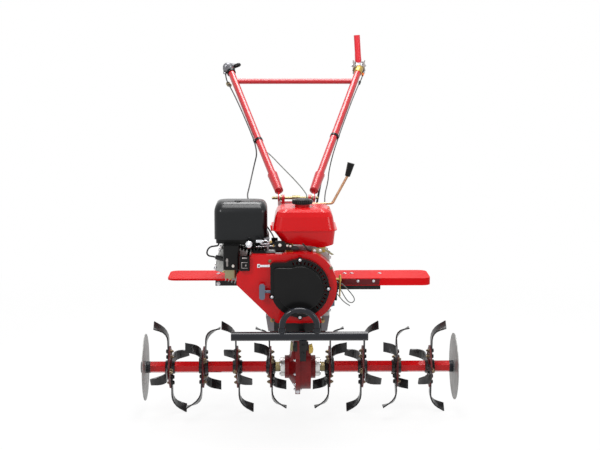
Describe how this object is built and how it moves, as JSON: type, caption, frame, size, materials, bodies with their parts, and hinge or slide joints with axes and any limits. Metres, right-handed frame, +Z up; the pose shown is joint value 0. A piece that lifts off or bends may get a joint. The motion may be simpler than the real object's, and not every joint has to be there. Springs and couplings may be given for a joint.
{
  "type": "rotary tiller",
  "caption": "Walk-behind gear-driven rotary tiller with a petrol engine, wide tine rotor with side discs, fenders, bumper and raised handlebar.",
  "frame": {"origin": "on the floor under the middle of the whole machine's length and width", "axes": "+Z up, -Y the way the machine works (engine and bumper end), +Y towards the handlebar grips, +X the operator's left"},
  "size_m": [1.332, 1.5125, 1.583],
  "materials": {
    "red_paint": "gloss red enamel",
    "flange_paint": "dark red enamel",
    "cast_red": "satin red paint on casting",
    "tine_black": "black paint, satin",
    "black_steel": "black enamel",
    "grey_steel": "grey enamel",
    "disc_steel": "dull bare steel",
    "zinc": "yellow zinc plate",
    "bearing_silver": "satin aluminium",
    "engine_alu": "cast aluminium, grey",
    "muffler_steel": "heat-proof black",
    "black_plastic": "black moulded plastic",
    "rubber_grip": "black rubber",
    "lever_sleeve": "red sleeve"
  },
  "bodies": {
    "machine": {"air_cleaner_base": "black_plastic", "air_cleaner_cover": "black_plastic", "bearing_covers": "bearing_silver", "blower_housing": "red_paint", "bumper_bracket": "black_steel", "bumper_hoop": "black_steel", "carburetor": "engine_alu", "carburetor_cover": "black_plastic", "clamp_bolt": "zinc", "clutch_cable": "black_plastic", "clutch_housing": "cast_red", "control_plate": "engine_alu", "crankcase": "engine_alu", "cylinder": "engine_alu", "cylinder_head": "engine_alu", "engine_mount": "grey_steel", "fender_left": "red_paint", "fender_right": "red_paint", "fender_support_left": "black_steel", "fender_support_right": "black_steel", "front_bumper": "black_steel", "fuel_cap": "black_plastic", "fuel_tank": "red_paint", "gear_knob": "black_plastic", "gear_lever": "zinc", "gearbox_case": "cast_red", "gearbox_lid": "cast_red", "handle_column": "red_paint", "muffler": "muffler_steel", "rear_hitch": "black_steel", "recoil_cover": "black_plastic", "recoil_handle": "black_plastic", "reverse_cable": "black_plastic", "rocker_cover": "engine_alu", "spark_plug_lead": "black_plastic", "stake_screw": "zinc", "stop_wire": "black_plastic", "tank_feet": "zinc", "throttle_cable": "black_plastic"},
    "rotor": {"blade_flanges_left": "flange_paint", "blade_flanges_right": "flange_paint", "rotor_shaft": "zinc", "rotor_tube_left": "red_paint", "rotor_tube_right": "red_paint", "side_disc_left": "disc_steel", "side_disc_right": "disc_steel", "tines_left": "tine_black", "tines_right": "tine_black"},
    "handlebar": {"cable_clips": "zinc", "clutch_bracket": "red_paint", "clutch_lever": "lever_sleeve", "grip_left": "rubber_grip", "grip_right": "rubber_grip", "handle_crossbar": "red_paint", "handle_tube_left": "red_paint", "handle_tube_right": "red_paint", "handle_yoke": "red_paint", "throttle_housing": "bearing_silver", "throttle_lever": "bearing_silver"},
    "stake": {"depth_stake": "black_steel"}
  },
  "joints": [
    {"name": "rotor_spin", "type": "hinge", "parent": "machine", "child": "rotor", "pos_m": [0, -0.28875, 0.19746], "axis": [1, 0, 0], "continuous": true},
    {"name": "handlebar_tilt", "type": "hinge", "parent": "machine", "child": "handlebar", "pos_m": [-0.013, -0.13275, 0.892], "axis": [1, 0, 0], "range_deg": [-30, 10], "deforming": ["throttle_cable", "clutch_cable", "reverse_cable", "stop_wire"]},
    {"name": "stake_slide", "type": "slide", "parent": "machine", "child": "stake", "axis": [0, 0, 1], "range_m": [0, 0.12]}
  ]
}
